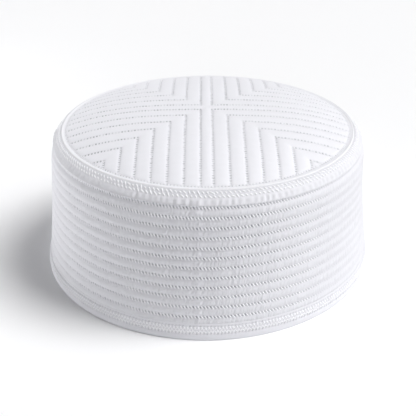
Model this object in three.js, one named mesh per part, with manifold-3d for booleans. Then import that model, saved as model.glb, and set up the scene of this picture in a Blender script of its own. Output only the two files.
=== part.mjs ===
// Quilted prayer cap, standing on its hem: a domed crown sewn in nested right angles, a rolled
// edge, a band sewn round in rows and a folded hem tape.
// Millimetres, +Z up, origin on the floor at the middle of the hem, front towards -Y.
import * as THREE from "three";
import { mergeVertices } from "three/addons/utils/BufferGeometryUtils.js";
import Module from "manifold-3d";

// Whole cap
const BASE_RADIUS = 93.8; // outside of the band where its wall would meet the floor
const WALL_LEAN = 0.143; // inward lean of the wall at the floor
const WALL_FLARE = 0.00078; // how the lean eases with height, per millimetre
const SEWN_GAP = 0.3; // clearance between neighbouring pieces
const ROUND_SEGMENTS = 60; // sides of each ring

// Hem tape, folded over the lower edge of the band
const HEM_HEIGHT = 9.4;
const HEM_PLY = 1.0;
const HEM_PROUD = 0.3; // how far the tape stands out from the band's swells
const HEM_EDGE_ROUND = 0.5;

// Band, sewn round in rows
const BAND_THICKNESS = 2.6; // from the swells to the plain inner face
const ROW_COUNT = 12;
const FIRST_ROW_HEIGHT = 72.4; // the top row, in the crease under the shoulder
const ROW_PITCH = 5.4;
const ROW_DEPTH = 0.7; // how far a row of stitches pulls the cloth in

// Shoulder, where the band turns in to the rolled edge
const SHOULDER_START = 65;
const SHOULDER_TOP_RADIUS = 81.7;
const SHOULDER_TOP_HEIGHT = 78.9;
const SHOULDER_FULLNESS = 1.5; // 1 is a straight slope, 2 a quarter of an ellipse
const SHOULDER_THICKNESS = 2.0;
const SHOULDER_STEPS = 5;
const SHOULDER_INNER_STEPS = 3;

// Rolled edge between band and crown
const WELT_RADIUS = 80.72;
const WELT_HEIGHT = 78.4;
const WELT_HALF_WIDTH = 0.75;
const WELT_HALF_HEIGHT = 1.1;
const WELT_SIDES = 8;

// Crown, a padded dome
const CROWN_RADIUS = 79.7;
const CROWN_EDGE_HEIGHT = 78.7;
const CROWN_RISE = 10.3; // from its sewn edge to the middle of the dome, below the swells
const CROWN_FULLNESS = 3.13; // power of the dome's curve: flat in the middle, steep at the edge
const CROWN_THICKNESS = 1.8; // at the stitch lines
const CROWN_SEWN_EDGE = 2.5; // width over which the quilting flattens out at the edge

// Quilting of the crown
const CROSS_HALF_WIDTH = 3.46; // from the middle of the plain cross to the first stitch line
const CHANNEL_PITCH = 8.17; // from one stitch line to the next
const CHANNEL_COUNT = 6; // whole channels in each quarter
const CHANNEL_RISE = 0.75; // height of a channel's swell above the stitch lines
const SWELL_ROUNDNESS = 0.6; // under 1 the swell is full, with narrow creases at its stitch lines

// Fractions of a channel or row spacing where its swell is drawn, from one stitch line to the next
const SWELL_STOPS = [0, 0.3, 0.7];

// Fractions of a channel's length where the dome is drawn, from the mitre to the sewn edge
const LENGTH_STOPS = [0, 0.3, 0.55, 0.76, 0.9, 1];

// Fractions of the crown's radius where its plain underside is drawn, from past the edge inwards
const UNDERSIDE_STOPS = [1.02, 0.94, 0.84, 0.7, 0.5, 0.3, 0];

const CLOTH_WHITE = "#f4f4f8";
const CLOTH_ROUGHNESS = 0.85;
const TAPE_WHITE = "#f1f1f5";
const TAPE_ROUGHNESS = 0.9;

const wasm = await Module();
wasm.setup();

function clothMesh(name, geometry, colour, roughness) {
  const material = new THREE.MeshStandardMaterial({ color: colour, roughness, metalness: 0 });
  const mesh = new THREE.Mesh(geometry, material);
  mesh.name = name;
  return mesh;
}

// Outer face of the band's wall below the shoulder, at a height.
function wallRadius(height) {
  return BASE_RADIUS - WALL_LEAN * height + WALL_FLARE * height ** 2;
}

// A point of the shoulder's curve, a given depth under its outer face. The turn runs from 0, on
// the wall, to a quarter circle, at the rolled edge.
function shoulderPoint(turn, depth) {
  const width = wallRadius(SHOULDER_START) - SHOULDER_TOP_RADIUS - depth;
  const rise = SHOULDER_TOP_HEIGHT - SHOULDER_START - depth;
  const power = 2 / SHOULDER_FULLNESS;
  return [
    SHOULDER_TOP_RADIUS + width * Math.max(Math.cos(turn), 0) ** power,
    SHOULDER_START + rise * Math.sin(turn) ** power,
  ];
}

// Turn of the shoulder's outer face at a height.
function shoulderTurn(height) {
  const share = (height - SHOULDER_START) / (SHOULDER_TOP_HEIGHT - SHOULDER_START);
  return Math.asin(share ** (SHOULDER_FULLNESS / 2));
}

// Outer face of the band, wall and shoulder, at a height.
function bandRadius(height) {
  if (height <= SHOULDER_START) return wallRadius(height);
  return shoulderPoint(shoulderTurn(height), 0)[0];
}

// Height of a swell, as a share of its full height, at a fraction of the way between stitch lines.
function swellShare(fraction) {
  return Math.sin(Math.PI * fraction) ** SWELL_ROUNDNESS;
}

// A body turned about the cap's axis from [radius, height] points that run up its outer face.
function turnedGeometry(points) {
  const section = points.map(([radius, height]) => new THREE.Vector2(radius, height));
  return new THREE.LatheGeometry(section, ROUND_SEGMENTS).rotateX(Math.PI / 2);
}

function ringGeometry(section) {
  return turnedGeometry([...section, section[0]]);
}

// A closed shape made ready for joining and cutting, without its zero-size triangles.
function toSolid(geometry) {
  const bare = geometry.clone();
  bare.deleteAttribute("normal");
  bare.deleteAttribute("uv");
  const merged = mergeVertices(bare);
  const corners = merged.index.array;
  const kept = [];
  for (let i = 0; i < corners.length; i += 3) {
    const [a, b, c] = corners.slice(i, i + 3);
    if (a !== b && b !== c && c !== a) kept.push(a, b, c);
  }
  const vertProperties = new Float32Array(merged.attributes.position.array);
  const triVerts = new Uint32Array(kept);
  return new wasm.Manifold(new wasm.Mesh({ numProp: 3, vertProperties, triVerts }));
}

function toGeometry(solid) {
  const mesh = solid.getMesh();
  const geometry = new THREE.BufferGeometry();
  geometry.setAttribute("position", new THREE.BufferAttribute(mesh.vertProperties, 3));
  geometry.setIndex(new THREE.BufferAttribute(mesh.triVerts, 1));
  geometry.computeVertexNormals();
  return geometry;
}

// Hem: a tape folded round the band's lower edge, with a flat underside.
function buildHem() {
  const innerSlot = HEM_PLY + SEWN_GAP + footThickness() + SEWN_GAP;
  const foldedThickness = innerSlot + HEM_PLY;
  const at = (height, depth) => [wallRadius(height) + HEM_PROUD - depth, height];
  const section = [
    at(0, HEM_EDGE_ROUND),
    at(HEM_EDGE_ROUND, 0),
    at(HEM_HEIGHT, 0),
    at(HEM_HEIGHT, HEM_PLY),
    at(HEM_PLY, HEM_PLY),
    at(HEM_PLY, innerSlot),
    at(HEM_HEIGHT, innerSlot),
    at(HEM_HEIGHT, foldedThickness),
    at(HEM_EDGE_ROUND, foldedThickness),
    at(0, foldedThickness - HEM_EDGE_ROUND),
  ];
  return clothMesh("hem", ringGeometry(section), TAPE_WHITE, TAPE_ROUGHNESS);
}

// The foot of the band is pressed thinner, to sit inside the folded tape.
function footSetBack() {
  return HEM_PLY + SEWN_GAP - HEM_PROUD;
}

function footThickness() {
  return BAND_THICKNESS - footSetBack();
}

// Band: a wall with a swell between each two rows, turned in over a round shoulder at the top.
function buildBand() {
  const footHeight = HEM_PLY + SEWN_GAP;
  const hemTop = HEM_HEIGHT + SEWN_GAP;
  const section = [
    [wallRadius(footHeight) - footSetBack(), footHeight],
    [wallRadius(hemTop) - footSetBack(), hemTop],
  ];

  // swells from the hem's upper edge to the top row
  const creases = [hemTop];
  for (let row = ROW_COUNT - 1; row >= 0; row -= 1) {
    creases.push(FIRST_ROW_HEIGHT - row * ROW_PITCH);
  }
  for (let row = 0; row < ROW_COUNT; row += 1) {
    for (const stop of SWELL_STOPS) {
      const height = THREE.MathUtils.lerp(creases[row], creases[row + 1], stop);
      const pulledIn = ROW_DEPTH * (1 - swellShare(stop));
      section.push([bandRadius(height) - pulledIn, height]);
    }
  }
  section.push([bandRadius(FIRST_ROW_HEIGHT) - ROW_DEPTH, FIRST_ROW_HEIGHT]);

  // over the shoulder to the rolled edge, and back down inside
  const rollStart = shoulderTurn(FIRST_ROW_HEIGHT + ROW_DEPTH);
  for (let step = 0; step <= SHOULDER_STEPS; step += 1) {
    const turn = THREE.MathUtils.lerp(rollStart, Math.PI / 2, step / SHOULDER_STEPS);
    section.push(shoulderPoint(turn, 0));
  }
  for (let step = SHOULDER_INNER_STEPS; step >= 1; step -= 1) {
    section.push(shoulderPoint((Math.PI / 2) * (step / SHOULDER_INNER_STEPS), SHOULDER_THICKNESS));
  }
  for (const height of [SHOULDER_START, SHOULDER_START / 2, footHeight]) {
    section.push([wallRadius(height) - BAND_THICKNESS, height]);
  }
  return clothMesh("band", ringGeometry(section), CLOTH_WHITE, CLOTH_ROUGHNESS);
}

// Rolled edge: a slim round cord of cloth, taller than wide.
function buildRimWelt() {
  const section = [];
  for (let side = 0; side < WELT_SIDES; side += 1) {
    const turn = (2 * Math.PI * (side + 0.5)) / WELT_SIDES;
    section.push([
      WELT_RADIUS + WELT_HALF_WIDTH * Math.cos(turn),
      WELT_HEIGHT + WELT_HALF_HEIGHT * Math.sin(turn),
    ]);
  }
  return clothMesh("rim_welt", ringGeometry(section), CLOTH_WHITE, CLOTH_ROUGHNESS);
}

function domeHeight(radius) {
  return CROWN_EDGE_HEIGHT + CROWN_RISE * (1 - (radius / CROWN_RADIUS) ** CROWN_FULLNESS);
}

// The stitch lines of a quarter lie at equal distances from the nearer arm of the cross, so the
// swell's height follows the smaller of the distances from the two arms, and mitres on the diagonal.
function quiltShare(across) {
  if (across < CROSS_HALF_WIDTH) return swellShare((1 + across / CROSS_HALF_WIDTH) / 2);
  return swellShare(((across - CROSS_HALF_WIDTH) / CHANNEL_PITCH) % 1);
}

// Distances from the cross's arm where the quilted surface bends, out to the mitre at the edge.
function acrossStops() {
  const stops = [0, CROSS_HALF_WIDTH / 2];
  for (let channel = 0; channel <= CHANNEL_COUNT; channel += 1) {
    for (const stop of SWELL_STOPS) {
      stops.push(CROSS_HALF_WIDTH + (channel + stop) * CHANNEL_PITCH);
    }
  }
  const mitreAtEdge = CROWN_RADIUS * Math.SQRT1_2;
  return [...stops.filter((stop) => stop < mitreAtEdge), mitreAtEdge];
}

// Points of one channel line, from its mitre on the diagonal out to the crown's flat sewn edge.
function channelLine(across) {
  const quiltedRadius = CROWN_RADIUS - CROWN_SEWN_EDGE;
  const quiltedLength = Math.sqrt(Math.max(quiltedRadius ** 2 - across ** 2, across ** 2));
  const rise = CHANNEL_RISE * quiltShare(across);
  const line = LENGTH_STOPS.map((stop) => {
    const along = THREE.MathUtils.lerp(across, quiltedLength, stop);
    return new THREE.Vector3(across, along, domeHeight(Math.hypot(across, along)) + rise);
  });
  const edgeLength = Math.sqrt(Math.max(CROWN_RADIUS ** 2 - across ** 2, across ** 2));
  line.push(new THREE.Vector3(across, edgeLength, CROWN_EDGE_HEIGHT));
  return line;
}

// One eighth of a solid under the quilted surface, from an arm of the cross to a diagonal, down
// to a flat base. Its triangles are listed corner by corner.
function crownWedge(baseHeight) {
  const lines = acrossStops().map(channelLine);
  const centre = new THREE.Vector3(0, 0, baseHeight);
  const atBase = ({ x, y }) => new THREE.Vector3(x, y, baseHeight);
  const corners = [];
  for (let i = 0; i + 1 < lines.length; i += 1) {
    const [near, far] = [lines[i], lines[i + 1]];
    for (let j = 0; j + 1 < near.length; j += 1) {
      corners.push(near[j], far[j], far[j + 1]);
      corners.push(near[j], far[j + 1], near[j + 1]);
    }
    const [nearEdge, farEdge] = [near.at(-1), far.at(-1)];
    corners.push(nearEdge, farEdge, atBase(farEdge));
    corners.push(nearEdge, atBase(farEdge), atBase(nearEdge));
    corners.push(atBase(nearEdge), atBase(farEdge), centre);
  }
  return corners;
}

// The whole solid: four quarters, each a wedge and its mirror image.
function crownBlock(baseHeight) {
  const corners = crownWedge(baseHeight);
  const positions = [];
  for (const [cos, sin] of [[1, 0], [0, 1], [-1, 0], [0, -1]]) {
    for (const side of [1, -1]) {
      const ordered = side > 0 ? corners : corners.toReversed();
      for (const { x, y, z } of ordered) {
        positions.push(cos * side * x - sin * y, sin * side * x + cos * y, z);
      }
    }
  }
  const geometry = new THREE.BufferGeometry();
  geometry.setAttribute("position", new THREE.Float32BufferAttribute(positions, 3));
  return toSolid(geometry);
}

// Crown: the quilted surface over a plain domed underside.
function buildCrown() {
  const baseHeight = CROWN_EDGE_HEIGHT - 3 * CROWN_THICKNESS;
  const hollowFloor = baseHeight - CROWN_THICKNESS;
  const underside = UNDERSIDE_STOPS.map((stop) => {
    const radius = CROWN_RADIUS * stop;
    return [radius, domeHeight(radius) - CROWN_THICKNESS];
  });
  const hollow = turnedGeometry([[0, hollowFloor], [underside[0][0], hollowFloor], ...underside]);
  const shell = crownBlock(baseHeight).subtract(toSolid(hollow));
  return clothMesh("crown", toGeometry(shell), CLOTH_WHITE, CLOTH_ROUGHNESS);
}

const cap = new THREE.Group();
cap.add(buildHem(), buildBand(), buildRimWelt(), buildCrown());

export default cap;
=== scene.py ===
import math

import bpy
import numpy as np
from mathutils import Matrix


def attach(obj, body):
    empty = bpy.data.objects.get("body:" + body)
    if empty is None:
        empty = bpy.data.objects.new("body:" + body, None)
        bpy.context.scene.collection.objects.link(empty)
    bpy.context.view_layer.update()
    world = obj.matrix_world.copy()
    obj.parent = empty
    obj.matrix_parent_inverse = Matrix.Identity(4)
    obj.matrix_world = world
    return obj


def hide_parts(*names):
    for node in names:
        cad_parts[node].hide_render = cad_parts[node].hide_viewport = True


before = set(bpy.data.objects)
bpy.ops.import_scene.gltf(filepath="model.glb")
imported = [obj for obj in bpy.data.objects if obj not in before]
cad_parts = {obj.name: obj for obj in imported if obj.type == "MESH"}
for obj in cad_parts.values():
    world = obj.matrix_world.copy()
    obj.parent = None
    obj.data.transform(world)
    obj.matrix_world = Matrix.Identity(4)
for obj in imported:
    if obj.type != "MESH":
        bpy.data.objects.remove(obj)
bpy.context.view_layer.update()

# Crown
# The round top is two plies of white cotton with wadding between them, cut as one disc. It is
# quilted by machine in nested right angles, so padded channels run out beside the four arms of a
# plain cross and meet in mitres on the diagonals. Its edge is sewn down inside the rolled welt.
MM = 0.001
FULL_TURN = 2.0 * math.pi
MERGE_DISTANCE = 0.005  # points closer than this are one point
SMOOTH_ANGLE = math.radians(60.0)
TINY = 0.001  # keeps a division off zero
CROWN_RADIUS = 79.7
CROWN_EDGE_HEIGHT = 78.7
CROWN_RISE = 10.3  # from the sewn edge to the middle of the dome
CROWN_FULLNESS = 3.13  # power of the dome's curve: flat in the middle, steep at the edge
CROWN_SEWN_EDGE = 2.5  # width over which the quilting flattens out at the edge
CROWN_THIN = 1.3  # thickness at the stitch lines
CROSS_HALF_WIDTH = 3.46
CHANNEL_PITCH = 8.17
CHANNEL_COUNT = 6
CHANNEL_RISE = 0.5
UNDERSIDE_SWELL = 0.5
WADDING_WAVE = 21.0  # the wadding is lumpy, in wide lumps of this length and height
WADDING_LUMP = 0.09
WADDING_FINE_WAVE = 6.5  # and in fine ones
WADDING_FINE_LUMP = 0.05
NOTCH_DEPTH = 0.22  # how far the thread bites in along a stitch line
NOTCH_HALF_WIDTH = 0.36
NEEDLE_SHADE_HALF_WIDTH = 0.75  # of the painted shade round the needle holes
EDGE_NOTCH_DEPTH = 0.1
EDGE_LIFT = 0.3  # the very edge is held up and out against the welt
EDGE_REACH = 0.5
EDGE_ROW_INSET = 0.9  # one more row of stitches runs round just inside the edge
QUILT_STITCH = 1.7
EDGE_ROW_STITCHES = round(FULL_TURN * (CROWN_RADIUS - EDGE_ROW_INSET) / QUILT_STITCH)
LIT_QUARTER_FADE = 0.4  # the painted shade of the stitch lines is weaker by this share on the front right quarter, which faces the lamps
LIT_FADE_FROM, LIT_FADE_TO = -10.0, 50.0  # reach of that fading of painted shade, towards the front right
QUILT_TURN = 0.006  # the quilting sits a little turned on the band, in radians
QUILT_SHIFT = -0.75  # and a little to one side
QUILT_PINCH = 0.33  # with the two arms that run front to back a little narrower
PINCH_REACH = 2.0
ROUND_EDGE_POWER = 6  # how late towards the edge the quilting is made round again
CROSS_ROWS = 5
CHANNEL_ROWS = 10
TOP_COLUMNS = 100
UNDERSIDE_COLUMNS = 40
EDGE_CROWDING = 1.5  # power that draws the columns of points together towards the edge
# ripples of uneven cloth: the turn of each in radians, the stretch of its wavelength, its start
CLOTH_RIPPLES = ((0.3, 1.0, 0.0), (1.4, 0.77, 1.9), (2.3, 1.31, 4.1), (2.9, 0.58, 2.6))
RIPPLE_PEAK = 3.0  # the ripples together seldom rise higher


def points_of(piece):
    """A piece's points in metres, one to a row."""
    places = np.empty(len(piece.data.vertices) * 3)
    piece.data.vertices.foreach_get("co", places)
    return places.reshape(-1, 3)


def move_points(piece, places):
    """Sets a piece's points, given in millimetres."""
    piece.data.vertices.foreach_set("co", (places * MM).ravel())
    piece.data.update()


def flat_grid(name, columns, rows):
    """A square grid and its points' places across and up it, counted from 0 in whole steps."""
    bpy.ops.mesh.primitive_grid_add(x_subdivisions=columns, y_subdivisions=rows, size=1.0)
    piece = bpy.context.object
    piece.name = name
    piece.data.name = name
    places = points_of(piece)
    across = np.rint((places[:, 0] + 0.5) * columns).astype(int)
    up = np.rint((places[:, 1] + 0.5) * rows).astype(int)
    return piece, across, up


def select_only(*pieces):
    """Selects these pieces and nothing else, with the first one active."""
    bpy.ops.object.select_all(action="DESELECT")
    for piece in pieces:
        piece.select_set(True)
    bpy.context.view_layer.objects.active = pieces[0]


def close_seams(piece):
    """Merges the points that meet where a sheet is joined to itself, and faces it outwards."""
    select_only(piece)
    bpy.ops.object.mode_set(mode="EDIT")
    bpy.ops.mesh.select_all(action="SELECT")
    bpy.ops.mesh.remove_doubles(threshold=MERGE_DISTANCE * MM)
    bpy.ops.mesh.normals_make_consistent(inside=False)
    bpy.ops.object.mode_set(mode="OBJECT")


def gathered_steps(start, end, count):
    """Places from start up to end, closer together at both, where the cloth bends most."""
    share = (1.0 - np.cos(np.pi * np.arange(count) / count)) / 2.0
    return start + (end - start) * share


def smooth_step(start, end, value):
    """Rises smoothly from 0 at start to 1 at end."""
    share = np.clip((value - start) / (end - start), 0.0, 1.0)
    return share * share * (3.0 - 2.0 * share)


def fade(distance, reach, power=2):
    """Falls smoothly from 1 towards 0 over a reach to both sides, more squarely at a high power."""
    return np.exp(-np.abs(distance / reach) ** power)


def unevenness(across, along, wavelength):
    """Gentle crossing ripples, from about -1 to 1, as in cloth that never lies quite flat."""
    total = np.zeros_like(across)
    for turn, stretch, start in CLOTH_RIPPLES:
        reach = across * math.cos(turn) + along * math.sin(turn)
        total += np.sin(FULL_TURN * reach / (wavelength * stretch) + start)
    return total / RIPPLE_PEAK


def dome_height(radius):
    """Height of the crown without its quilting."""
    return CROWN_EDGE_HEIGHT + CROWN_RISE * (1.0 - (radius / CROWN_RADIUS) ** CROWN_FULLNESS)


def quilted_sheet(name, columns):
    """A flat disc of one ply, with its rows of points along the quilting lines of each quarter."""
    mitre_at_edge = CROWN_RADIUS * math.sqrt(0.5)
    stops = [0.0, *(CROSS_HALF_WIDTH + CHANNEL_PITCH * np.arange(CHANNEL_COUNT + 1)), mitre_at_edge]
    counts = [CROSS_ROWS, *[CHANNEL_ROWS] * CHANNEL_COUNT, CROSS_ROWS]
    rows = [gathered_steps(*ends) for ends in zip(stops[:-1], stops[1:], counts)]
    row_places = np.append(np.concatenate(rows), mitre_at_edge)

    # one eighth, from an arm of the cross to a diagonal
    piece, column, row = flat_grid(name, columns, len(row_places) - 1)
    across = row_places[row]
    edge = np.sqrt(np.maximum(CROWN_RADIUS ** 2 - across ** 2, across ** 2))
    along = across + (edge - across) * (1.0 - (1.0 - column / columns) ** EDGE_CROWDING)
    move_points(piece, np.column_stack([along, across, np.zeros_like(along)]))

    # mirrored over both arms, then a second set turned by a right angle
    mirror = piece.modifiers.new("quarters", "MIRROR")
    mirror.use_axis = (True, True, False)
    mirror.merge_threshold = MERGE_DISTANCE * MM
    bpy.ops.object.modifier_apply(modifier=mirror.name)
    bpy.ops.object.duplicate()
    turned = bpy.context.object
    places = points_of(turned) / MM
    move_points(turned, np.column_stack([-places[:, 1], places[:, 0], places[:, 2]]))
    select_only(piece, turned)
    bpy.ops.object.join()
    close_seams(piece)
    return piece


def quilt_measures(places):
    """Each point's distance from the middle, from the nearer arm of the cross, and along it."""
    x, y = np.abs(places[:, :2].T)
    return np.hypot(x, y), np.minimum(x, y), np.maximum(x, y)


def quilt_relief(places):
    """The quilting's swell share, its painted shade along the stitch lines and edge row, and its upper
    face's height above the dome.
    """
    radius, across, _ = quilt_measures(places)
    flattened = smooth_step(CROWN_RADIUS, CROWN_RADIUS - CROWN_SEWN_EDGE, radius)
    lines_out = (across - CROSS_HALF_WIDTH) / CHANNEL_PITCH
    in_cross = 0.5 + 0.5 * across / CROSS_HALF_WIDTH
    to_next = np.where(across < CROSS_HALF_WIDTH, in_cross, np.mod(lines_out, 1.0))
    share = np.clip(4.0 * to_next * (1.0 - to_next), 0.0, 1.0) * flattened
    nearest_line = np.clip(np.rint(lines_out), 0, CHANNEL_COUNT)
    from_line = across - CROSS_HALF_WIDTH - CHANNEL_PITCH * nearest_line
    from_edge_row = radius - CROWN_RADIUS + EDGE_ROW_INSET
    notch = NOTCH_DEPTH * fade(from_line, NOTCH_HALF_WIDTH) * flattened
    notch = np.maximum(notch, EDGE_NOTCH_DEPTH * fade(from_edge_row, NOTCH_HALF_WIDTH))
    shade_marks = fade(from_line, NEEDLE_SHADE_HALF_WIDTH) * flattened
    shade_marks = np.maximum(shade_marks, fade(from_edge_row, NOTCH_HALF_WIDTH))
    lift = EDGE_LIFT * smooth_step(CROWN_RADIUS - EDGE_ROW_INSET, CROWN_RADIUS, radius)
    lumps = unevenness(places[:, 0], places[:, 1], WADDING_WAVE) * WADDING_LUMP
    lumps += unevenness(places[:, 1], places[:, 0], WADDING_FINE_WAVE) * WADDING_FINE_LUMP
    return share, shade_marks, CHANNEL_RISE * share - notch + lumps * share + lift


def stitch_run(places):
    """How many stitches along its line of sewing each point lies."""
    radius, across, along = quilt_measures(places)
    line = np.clip(np.rint((across - CROSS_HALF_WIDTH) / CHANNEL_PITCH), 0, CHANNEL_COUNT)
    on_line = (along - CROSS_HALF_WIDTH - CHANNEL_PITCH * line) / QUILT_STITCH
    on_edge = np.arctan2(across, along) * EDGE_ROW_STITCHES / FULL_TURN + 0.5
    return np.where(radius > CROWN_RADIUS - 2.0 * EDGE_ROW_INSET, on_edge, on_line)


def laid_quilt(places):
    """Where the even pattern's points come to lie on the real disc, whose edge stays round."""
    cos, sin = math.cos(QUILT_TURN), math.sin(QUILT_TURN)
    pinch = QUILT_PINCH * np.tanh(places[:, 0] / PINCH_REACH)
    laid_x = places[:, 0] * cos - places[:, 1] * sin + QUILT_SHIFT - pinch
    laid_y = places[:, 0] * sin + places[:, 1] * cos
    radius = np.hypot(places[:, 0], places[:, 1])
    laid_radius = np.hypot(laid_x, laid_y)
    kept_round = laid_radius + (radius - laid_radius) * (radius / CROWN_RADIUS) ** ROUND_EDGE_POWER
    reach = EDGE_REACH * smooth_step(CROWN_RADIUS - EDGE_ROW_INSET, CROWN_RADIUS, radius)
    scale = (kept_round + reach) / np.maximum(laid_radius, TINY)
    return np.column_stack([laid_x * scale, laid_y * scale]), kept_round


def mark_points(piece, name, values):
    """Keeps a value at each point for the cloth's colour."""
    layer = piece.data.attributes.new(name, "FLOAT", "POINT")
    layer.data.foreach_set("value", values.astype(np.float32))


def quilted_ply(name, columns):
    """A ply with its painted shade along the stitch lines, still flat, and the quilting that it is to be
    raised by.
    """
    piece = quilted_sheet(name, columns)
    places = points_of(piece) / MM
    share, shade_marks, relief = quilt_relief(places)
    laid, radius = laid_quilt(places)
    # the crease mark is painted shade along the quilting lines and the edge row
    mark_points(piece, "crease", shade_marks)
    mark_points(piece, "stitch_run", stitch_run(places))

    # the weave follows the cloth's own measure, in metres, as a UV map
    corner_points = np.empty(len(piece.data.loops), dtype=np.int32)
    piece.data.loops.foreach_get("vertex_index", corner_points)
    layer = piece.data.uv_layers[0]
    layer.name = "weave"
    layer.data.foreach_set("uv", (laid[corner_points] * MM).ravel())
    return piece, laid, radius, share, relief


crown, laid, radius, _, relief = quilted_ply("quilted_crown", TOP_COLUMNS)
to_front_right = laid[:, 0] - laid[:, 1]
# the crown's painted shade is faded on its front right, which faces the lamps
mark_points(crown, "shade_fade", LIT_QUARTER_FADE * smooth_step(LIT_FADE_FROM, LIT_FADE_TO, to_front_right))
move_points(crown, np.column_stack([laid, dome_height(radius) + relief]))

underside, laid, radius, share, _ = quilted_ply("crown_underside", UNDERSIDE_COLUMNS)
lower_face = dome_height(radius) - CROWN_THIN - UNDERSIDE_SWELL * share
move_points(underside, np.column_stack([laid, lower_face]))

# the two plies are closed to one padded piece by a strip round their edges
select_only(crown, underside)
bpy.ops.object.join()
bpy.ops.object.mode_set(mode="EDIT")
bpy.ops.mesh.select_all(action="DESELECT")
bpy.ops.mesh.select_mode(type="EDGE")
bpy.ops.mesh.select_non_manifold()
bpy.ops.mesh.bridge_edge_loops()
bpy.ops.mesh.select_mode(type="VERT")
bpy.ops.mesh.select_all(action="SELECT")
bpy.ops.mesh.normals_make_consistent(inside=False)
bpy.ops.object.mode_set(mode="OBJECT")
bpy.ops.object.shade_smooth_by_angle(angle=SMOOTH_ANGLE)


def linear(hex_colour):
    """An sRGB hex colour as linear RGBA."""
    channels = [int(hex_colour[i:i + 2], 16) / 255.0 for i in (1, 3, 5)]
    return [c / 12.92 if c <= 0.04045 else ((c + 0.055) / 1.055) ** 2.4 for c in channels] + [1.0]


def bare_material(name):
    """A new material and its node tree, still empty."""
    material = bpy.data.materials.new(name)
    material.use_nodes = True
    material.node_tree.nodes.clear()
    return material, material.node_tree


def add_node(tree, kind, settings=None, inputs=None, output=0):
    """Adds a node with its settings and inputs, values or sockets, and gives an output."""
    node = tree.nodes.new("ShaderNode" + kind)
    for name, value in (settings or {}).items():
        setattr(node, name, value)
    for socket, value in (inputs or {}).items():
        if isinstance(value, bpy.types.NodeSocket):
            tree.links.new(value, node.inputs[socket])
        else:
            node.inputs[socket].default_value = value
    return node.outputs[output] if node.outputs else None


def compute(tree, operation, *values):
    """The result of a Math node."""
    return add_node(tree, "Math", {"operation": operation}, dict(enumerate(values)))


THREAD_SPACING = 0.6
WAVE_RATE = 20.0  # turn of a Wave Texture, in radians, for each metre at a scale of 1
WEAVE_DEPTH = 0.12
SLUB_SPACING = 2.5  # thicker places in the spun threads
SLUB_SHARE = 0.6
PUCKER_DEPTH = 2.5
PUCKER_WIDTH = 1.3
PUCKER_LENGTH = 7.0
SHADE_PATCH_SPACING = 1.6  # of the stronger and fainter patches of painted shade
FAINTEST_SHADE = 0.2
COLOUR_A, COLOUR_B, MIXED_COLOUR = 6, 7, 2  # sockets of a Mix node that mixes colours


def matt_surface(tree, share, hexes, roughness, bump, gloss, sheen):
    """Ends a material in a matt surface with a soft bloom, its colour mixed from two."""
    colours = {"Factor": share, COLOUR_A: linear(hexes[0]), COLOUR_B: linear(hexes[1])}
    tint = add_node(tree, "Mix", {"data_type": "RGBA"}, colours, MIXED_COLOUR)
    surface = add_node(tree, "BsdfPrincipled", None,
                       {"Base Color": tint, "Roughness": roughness, "Normal": bump,
                        "Specular IOR Level": gloss, "Sheen Weight": sheen, "Sheen Roughness": 0.5})
    add_node(tree, "OutputMaterial", None, {"Surface": surface})


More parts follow.
